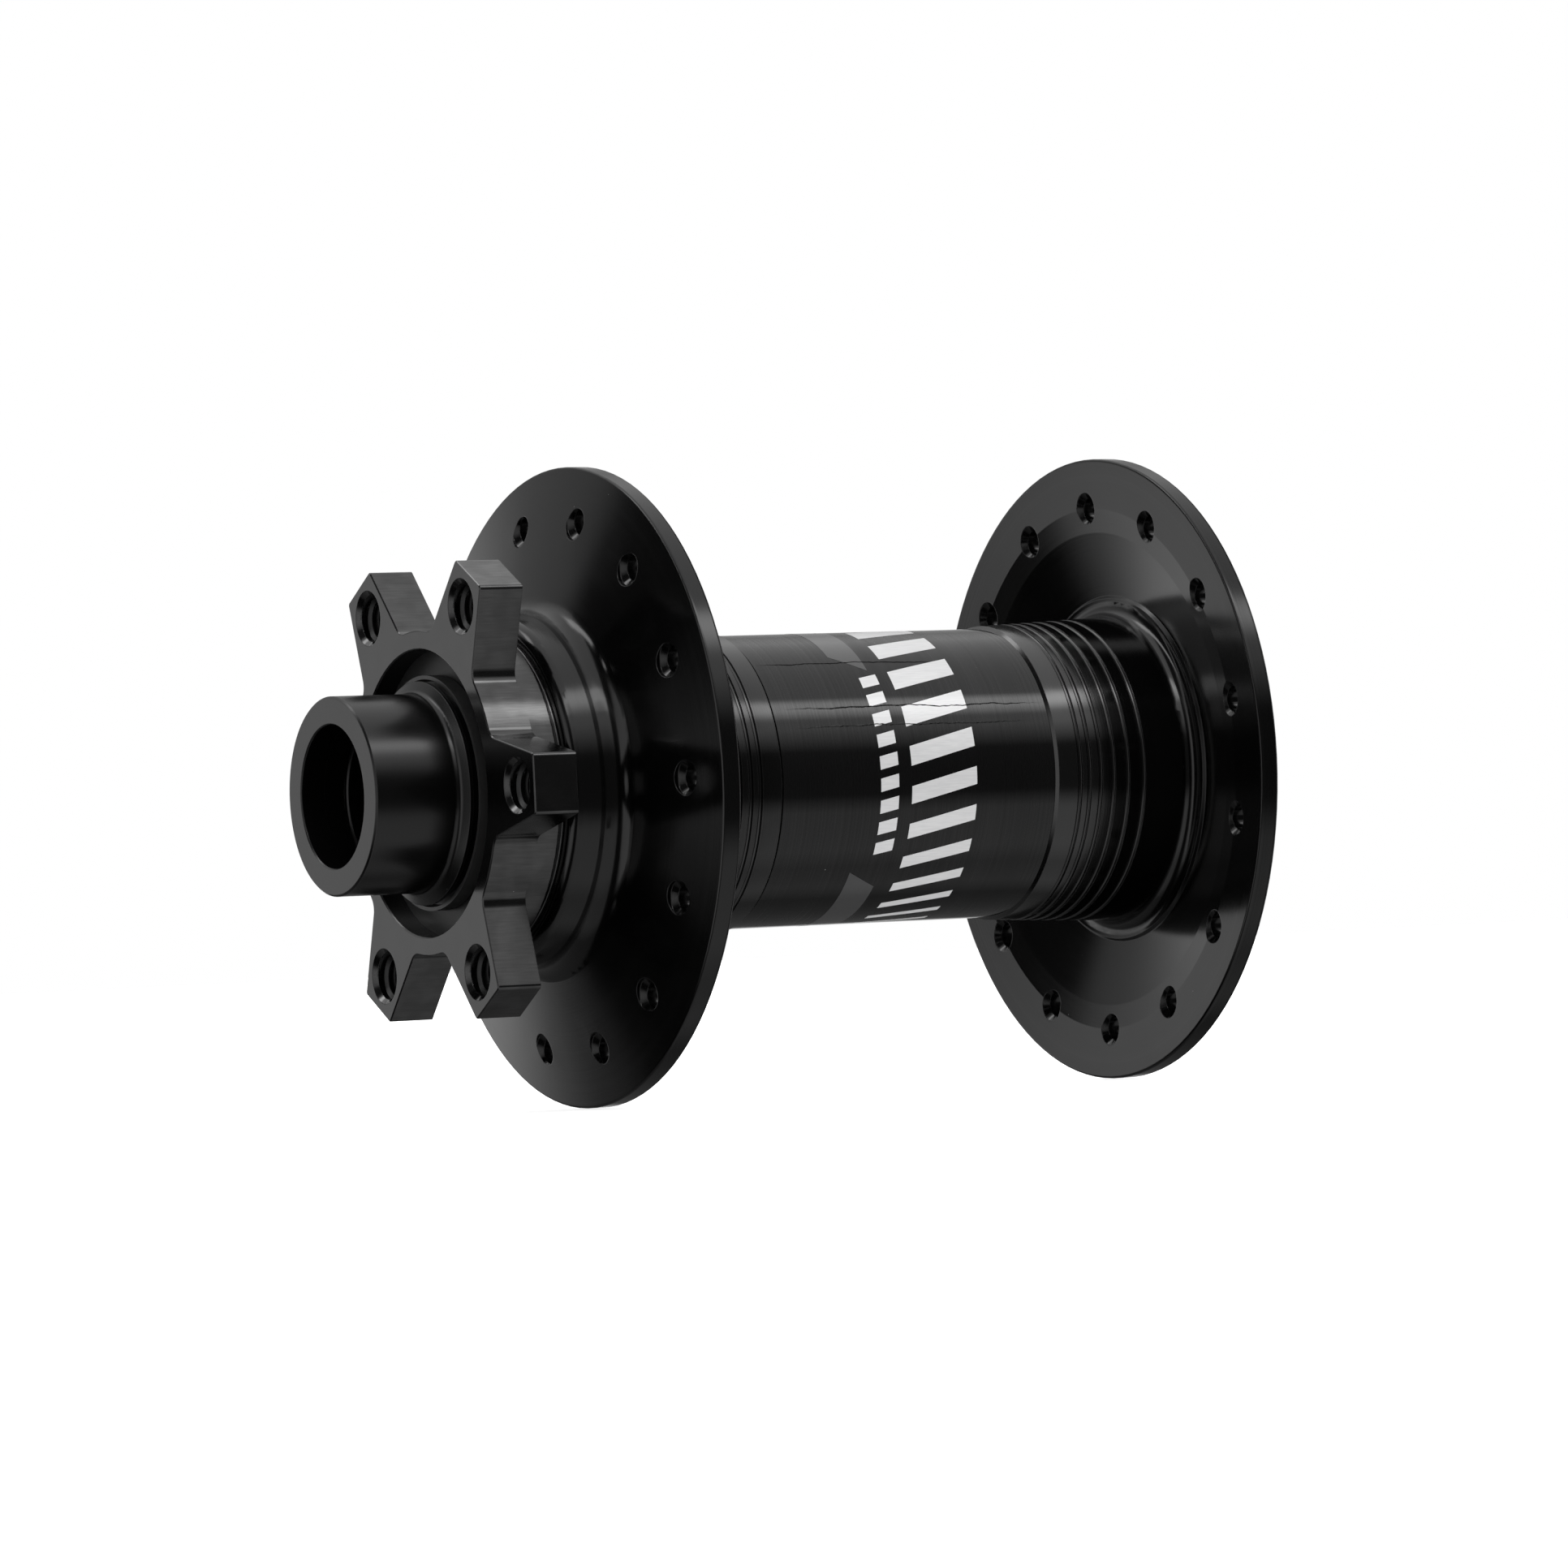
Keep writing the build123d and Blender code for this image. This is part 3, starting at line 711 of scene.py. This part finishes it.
def add_thread(name, centre_x, centre_z):
    """One internal thread as a closed ridge round the inside of a hole."""
    steps_per_turn = 40
    turns = (thread_top_y - thread_bottom_y) / thread_pitch
    count = round(turns * steps_per_turn)
    points, faces = [], []
    for n in range(count + 1):
        turn = 2 * math.pi * n / steps_per_turn
        y = thread_top_y - thread_pitch * n / steps_per_turn
        runout = min(1.0, 2.5 * n / steps_per_turn, 2.5 * (count - n) / steps_per_turn)
        crest = thread_root - (thread_root - thread_crest) * max(runout, 0.04)
        for radius, offset in ((thread_root, 0.38), (crest, 0.06), (crest, -0.06), (thread_root, -0.38)):
            x = centre_x + radius * math.cos(turn)
            z = centre_z + radius * math.sin(turn)
            points.append((x * MM, (y + offset) * MM, z * MM))
    for n in range(count):
        a, b = 4 * n, 4 * (n + 1)
        for first in range(4):
            second = (first + 1) % 4
            faces.append((a + first, b + first, b + second, a + second))
    faces.append((0, 1, 2, 3))
    faces.append(tuple(4 * count + k for k in (3, 2, 1, 0)))
    return add_mesh(name, points, faces, "thread_anodised")


for hole in range(bolt_count):
    around = math.radians(180 + 360 * hole / bolt_count)
    add_thread(
        f"disc_bolt_thread_{hole + 1}",
        bolt_circle_radius * math.cos(around),
        bolt_circle_radius * math.sin(around),
    )
print("threads:", bolt_count, "with", round((thread_top_y - thread_bottom_y) / thread_pitch, 1), "turns each")

# %% [markdown]
# ## The studio
#
# A black, glossy hub shows nothing of itself, only what stands round it. So the light matters more here than
# the paint. The light is a large soft tent: pale behind and above, one narrow bright strip overhead on our
# side, a dark gap at eye level in front, and a dim table below. Lamps could do it, but each would need
# placing and hiding. Instead the whole tent is one ramp wrapped round the hub's axis, built from named
# panels. Angles start at our side, 0 degrees, and rise overhead to 180 degrees behind the hub.

# %% Light tent
tent = bpy.data.worlds.new("light_tent")
bpy.context.scene.world = tent
tent.use_nodes = True
tree = tent.node_tree
tree.nodes.clear()
direction = add_node(tree, "ShaderNodeTexCoord").outputs["Generated"]
parts = add_node(tree, "ShaderNodeSeparateXYZ", {0: direction}).outputs
angle_round = calculate(tree, "ARCTAN2", parts["Z"], calculate(tree, "MULTIPLY", parts["X"], -1.0))
tent_share = add_node(
    tree, "ShaderNodeMapRange", {"Value": angle_round, "From Min": -math.pi, "From Max": math.pi}
).outputs["Result"]
ramp = add_node(tree, "ShaderNodeValToRGB", {0: tent_share})
brightest = 4.0
tent_panels = (
    ("foot of the back wall", -180, -172, 0.8),
    ("far half of the table", -164, -110, 0.1),
    ("middle of the table", -95, -75, 0.3),
    ("near half of the table", -60, -28, 0.5),
    ("gap in front", -15, 20, 0.06),
    ("front of the roof", 38, 46, 0.9),
    ("bright strip", 54, 60, 3.5),
    ("roof", 65, 135, 0.8),
    ("top of the back wall", 152, 166, 0.35),
    ("back wall", 175, 180, 0.8),
)
stops = ramp.color_ramp.elements
while len(stops) > 1:
    stops.remove(stops[-1])
for number, (panel, first, last, light) in enumerate(tent_panels):
    for angle in (first, last):
        spot = (angle + 180) / 360
        stop = stops[0] if angle == -180 else stops.new(spot)
        stop.position = spot
        stop.color = (light / brightest, light / brightest, light / brightest, 1)

# Towards the hub's two ends the tent has a dark slot, and beyond it a round pale end panel.
towards_end = calculate(tree, "ABSOLUTE", parts["Y"])
slot_start = {"Value": towards_end, "From Min": 0.51, "From Max": 0.60, "To Min": 1.0, "To Max": 0.06}
slot_share = add_node(tree, "ShaderNodeMapRange", slot_start, interpolation_type="SMOOTHSTEP").outputs[0]
panel_start = {"Value": towards_end, "From Min": 0.80, "From Max": 0.90}
panel_share = add_node(tree, "ShaderNodeMapRange", panel_start, interpolation_type="SMOOTHSTEP").outputs[0]

# Behind the hub, and only on the disc's side, a second strip gives the far side of the barrel its highlight.
back_strip_middle = math.radians(122)
from_middle = calculate(tree, "ABSOLUTE", calculate(tree, "SUBTRACT", angle_round, back_strip_middle))
strip_width = {"Value": from_middle, "From Min": math.radians(4), "From Max": math.radians(9)}
strip_width |= {"To Min": 1.0, "To Max": 0.0}
strip_side = {"Value": parts["Y"], "From Min": 0.25, "From Max": 0.40}
strip_share = calculate(
    tree,
    "MULTIPLY",
    add_node(tree, "ShaderNodeMapRange", strip_width, interpolation_type="SMOOTHSTEP").outputs[0],
    add_node(tree, "ShaderNodeMapRange", strip_side, interpolation_type="SMOOTHSTEP").outputs[0],
)
walls = add_node(
    tree, "ShaderNodeVectorMath", {0: ramp.outputs[0], "Scale": slot_share}, operation="SCALE"
).outputs[0]
end_panel = 0.75 / brightest
back_strip = 3.0 / brightest
walls = blend_colours(tree, strip_share, walls, (back_strip, back_strip, back_strip))
lit = blend_colours(tree, panel_share, walls, (end_panel, end_panel, end_panel))
tent_light = add_node(tree, "ShaderNodeBackground", {"Color": lit, "Strength": brightest}).outputs[0]

# A fill card that only scattered light sees: it lifts pale prints and leaves the mirror black alone.
card = add_node(tree, "ShaderNodeBackground", {"Color": (1, 1, 1, 1), "Strength": 1.0}).outputs[0]
rays = add_node(tree, "ShaderNodeLightPath").outputs
with_fill = add_node(
    tree, "ShaderNodeMixShader", {0: rays["Is Diffuse Ray"], 1: tent_light, 2: card}
).outputs[0]
backdrop = add_node(tree, "ShaderNodeBackground", {"Color": (1, 1, 1, 1), "Strength": 1.0}).outputs[0]
chosen = add_node(tree, "ShaderNodeMixShader", {0: rays["Is Camera Ray"], 1: with_fill, 2: backdrop}).outputs[0]
add_node(tree, "ShaderNodeOutputWorld", {"Surface": chosen})
bpy.context.scene.view_settings.view_transform = "Standard"
print("tent panels:", ", ".join(panel for panel, *_ in tent_panels))

# %% [markdown]
# ## The table
#
# The hub stands on its two flanges on a white table. The table shows a soft shadow, but takes no part in
# reflections, because the tent already says how light the table is from below.

# %% Table
table_size = 8.0
table_z = cad_box[0].z - 0.0001
points = [(sx * table_size, sy * table_size, table_z) for sx, sy in ((-1, -1), (1, -1), (1, 1), (-1, 1))]
table_mesh = bpy.data.meshes.new("table")
table_mesh.from_pydata(points, [], [(0, 1, 2, 3)])
table = bpy.data.objects.new("table", table_mesh)
bpy.context.scene.collection.objects.link(table)
table.visible_glossy = False
table.visible_diffuse = False
paint = bpy.data.materials.new("table_white")
paint.use_nodes = True
paper = paint.node_tree.nodes["Principled BSDF"].inputs
paper["Base Color"].default_value = (0.9, 0.9, 0.9, 1)
paper["Roughness"].default_value = 0.8
paper["Emission Color"].default_value = (1, 1, 1, 1)
paper["Emission Strength"].default_value = 0.72
table_mesh.materials.append(paint)
print(f"table at z {table_z / MM:.2f} mm")

# %% [markdown]
# ## The camera
#
# The hub is seen from the brake disc's side, a little from the front, with the lens level with the axle. A
# long lens from almost a metre keeps the flanges from looking stretched. The camera is aimed at a
# point near the middle of the hub and then rolled by a few degrees, so that the hub lies as if on a bench.

# %% Camera
camera_data = bpy.data.cameras.new("camera")
camera = bpy.data.objects.new("camera", camera_data)
bpy.context.scene.collection.objects.link(camera)
bpy.context.scene.camera = camera
camera_data.sensor_width = 36
camera_data.lens = 189.89
camera_data.clip_start = 0.05
camera_place = Vector((-780.03, 431.15, -17.58)) * MM
aim = Vector((0.44, 0.78, -0.38)) * MM
roll = math.radians(-2.694)
facing = (aim - camera_place).to_track_quat("-Z", "Y").to_matrix()
turned_view = (facing @ Matrix.Rotation(roll, 3, "Z")).to_4x4()
camera.matrix_world = Matrix.Translation(camera_place) @ turned_view
print(f"camera {(aim - camera_place).length / MM:.0f} mm away, lens {camera_data.lens} mm")

# %% Print the CAD box and finish
print("cad box", [round(v / MM, 2) for corner in cad_box for v in corner])
